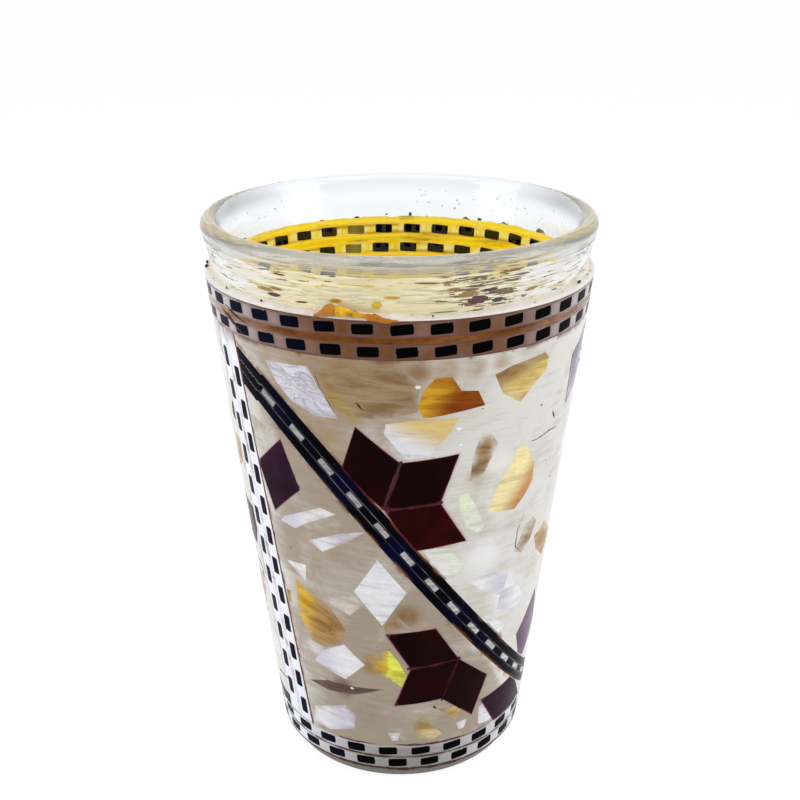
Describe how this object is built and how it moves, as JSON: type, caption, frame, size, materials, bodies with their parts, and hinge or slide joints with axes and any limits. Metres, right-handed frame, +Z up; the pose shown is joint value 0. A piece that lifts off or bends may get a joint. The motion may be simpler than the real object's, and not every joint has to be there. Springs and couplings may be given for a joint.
{
  "type": "tea glass",
  "caption": "Tapered clear tea glass in an inlaid resin jacket with checker bands, leaning posts, dark ribbons, rhombus fans and shell chips; holds a drink",
  "frame": {"origin": "centre of the base, on the surface that the glass stands on", "axes": "+Z up along the axis of the glass, -Y the front with the standing rhombus fan, +X to its right"},
  "size_m": [0.064, 0.064, 0.096],
  "materials": {
    "clear_glass": "polished, clear",
    "amber_glue": "clear amber film",
    "brown_glue": "brown, squeezed out and polished",
    "ivory_resin": "polished under clear lacquer",
    "ivory_strip": "polished bone white",
    "black_horn": "polished black",
    "navy_lacquer": "polished navy",
    "gilt_line": "pale gilt",
    "maroon_tile": "polished dark maroon",
    "mother_of_pearl": "polished shell with a pale play of colour",
    "amber_chip": "polished, streaked amber"
  },
  "bodies": {
    "root": {"glass_tumbler": "clear_glass", "adhesive_bed": "amber_glue", "top_lip": "ivory_resin", "top_band_upper_strip": "ivory_strip", "top_band_upper_dashes": "black_horn", "top_band_glue_line": "brown_glue", "top_band_lower_strip": "ivory_strip", "top_band_lower_dashes": "black_horn", "bottom_band_upper_strip": "ivory_strip", "bottom_band_upper_dashes": "black_horn", "bottom_band_lower_strip": "ivory_strip", "bottom_band_lower_dashes": "black_horn", "bottom_edge_seal": "brown_glue", "front_post_right_strip": "ivory_strip", "front_post_left_strip": "ivory_strip", "front_post_glue_lines": "brown_glue", "front_post_dashes": "black_horn", "front_ribbon_upper_rail": "black_horn", "front_ribbon_lower_rail": "navy_lacquer", "front_ribbon_hairlines": "gilt_line", "front_ribbon_core": "navy_lacquer", "front_ribbon_white_dashes": "ivory_strip", "front_upper_fan": "maroon_tile", "front_lower_fan": "maroon_tile", "front_single_rhombs": "maroon_tile", "front_pearl_lozenge": "mother_of_pearl", "front_upper_pearl_chips": "mother_of_pearl", "front_lower_pearl_chips": "mother_of_pearl", "front_upper_amber_chips": "amber_chip", "front_lower_amber_chips": "amber_chip", "front_upper_resin": "ivory_resin", "front_lower_resin": "ivory_resin", "back_post_right_strip": "ivory_strip", "back_post_left_strip": "ivory_strip", "back_post_glue_lines": "brown_glue", "back_post_dashes": "black_horn", "back_ribbon_upper_rail": "black_horn", "back_ribbon_lower_rail": "navy_lacquer", "back_ribbon_hairlines": "gilt_line", "back_ribbon_core": "navy_lacquer", "back_ribbon_white_dashes": "ivory_strip", "back_upper_fan": "maroon_tile", "back_lower_fan": "maroon_tile", "back_single_rhombs": "maroon_tile", "back_pearl_lozenge": "mother_of_pearl", "back_upper_pearl_chips": "mother_of_pearl", "back_lower_pearl_chips": "mother_of_pearl", "back_upper_amber_chips": "amber_chip", "back_lower_amber_chips": "amber_chip", "back_upper_resin": "ivory_resin", "back_lower_resin": "ivory_resin"}
  },
  "joints": []
}
